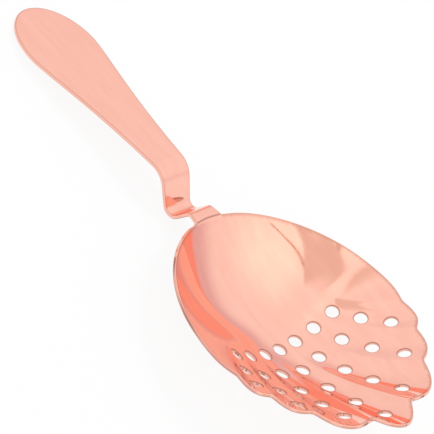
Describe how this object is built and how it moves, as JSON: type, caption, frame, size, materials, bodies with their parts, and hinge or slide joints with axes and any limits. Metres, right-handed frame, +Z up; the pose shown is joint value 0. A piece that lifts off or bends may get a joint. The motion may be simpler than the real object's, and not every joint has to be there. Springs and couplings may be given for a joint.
{
  "type": "julep strainer",
  "caption": "Shallow oval strainer bowl with a fluted, scalloped and pierced front, and a flat paddle handle joined by a V-shaped rim hook.",
  "frame": {"origin": "middle of the bounding box in X and Y, on the surface that the strainer lies on", "axes": "+X towards the scalloped front of the bowl, -X towards the end of the handle, +Y across the bowl, +Z up"},
  "size_m": [0.1679, 0.0762, 0.0249],
  "materials": {
    "plated_steel": "stainless steel sheet, polished and plated in a rose copper colour"
  },
  "bodies": {
    "root": {"strainer": "plated_steel"}
  },
  "joints": []
}
